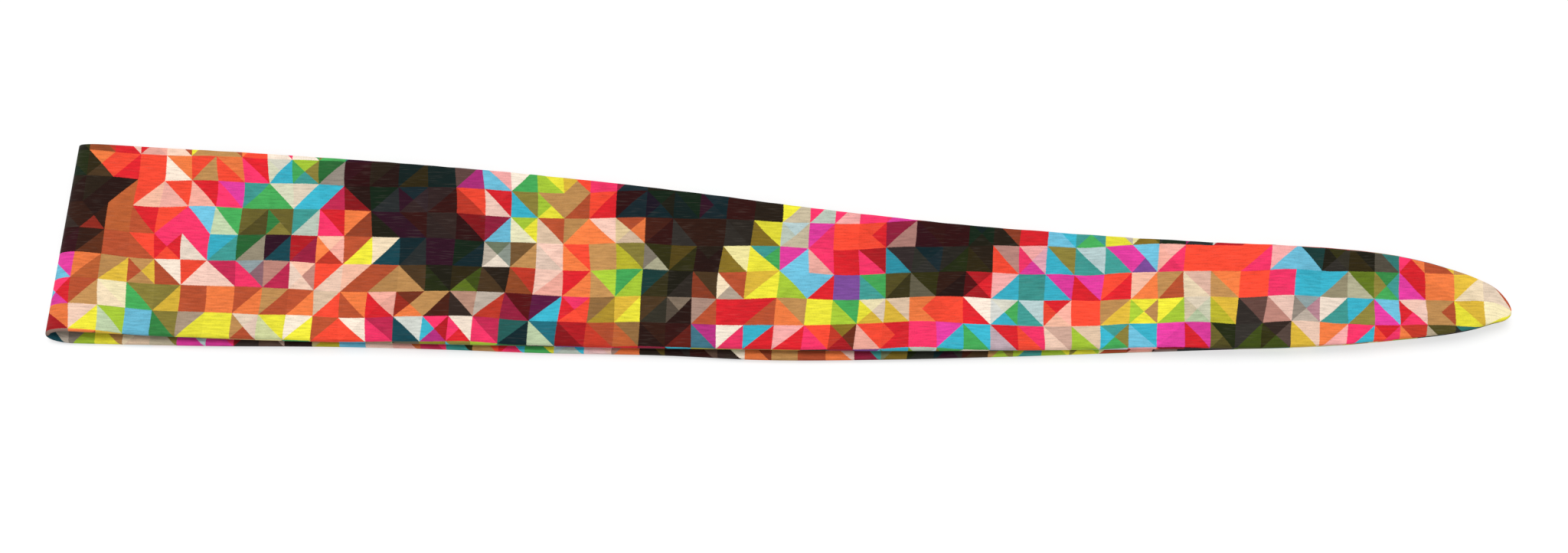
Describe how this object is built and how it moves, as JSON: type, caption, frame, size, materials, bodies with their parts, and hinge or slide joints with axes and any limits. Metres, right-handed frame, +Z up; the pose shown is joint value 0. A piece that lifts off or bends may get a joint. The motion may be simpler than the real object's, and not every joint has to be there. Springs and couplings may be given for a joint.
{
  "type": "tie headband",
  "caption": "Flat tie headband of printed stretch knit: a tapered, turned sleeve with rounded tail ends, folded in half at its centre and opening out to its full length.",
  "frame": {"origin": "on the resting surface, under the middle of the folded band", "axes": "+X from the centre fold to the tail ends, +Y from the lengthwise fold to the seamed edge, +Z up"},
  "size_m": [0.508, 0.0704, 0.0064],
  "materials": {
    "printed_knit": "fine matt jersey with a many-coloured patchwork print",
    "knit_wrong_side": "unprinted wrong side of the jersey",
    "seam_thread": "spun polyester overlock thread",
    "closing_thread": "spun polyester sewing thread"
  },
  "bodies": {
    "lower_half": {"lower_sleeve": "printed_knit", "lower_seam_edges": "knit_wrong_side", "lower_needle_thread": "seam_thread", "lower_top_looper_thread": "seam_thread", "lower_bottom_looper_thread": "seam_thread", "closing_stitches": "closing_thread"},
    "upper_half": {"upper_sleeve": "printed_knit", "upper_seam_edges": "knit_wrong_side", "upper_needle_thread": "seam_thread", "upper_top_looper_thread": "seam_thread", "upper_bottom_looper_thread": "seam_thread"}
  },
  "joints": [
    {"name": "centre_fold", "type": "hinge", "parent": "lower_half", "child": "upper_half", "pos_m": [-0.254, 0, 0.00322], "axis": [0, -1, 0], "range_deg": [0, 180]}
  ]
}
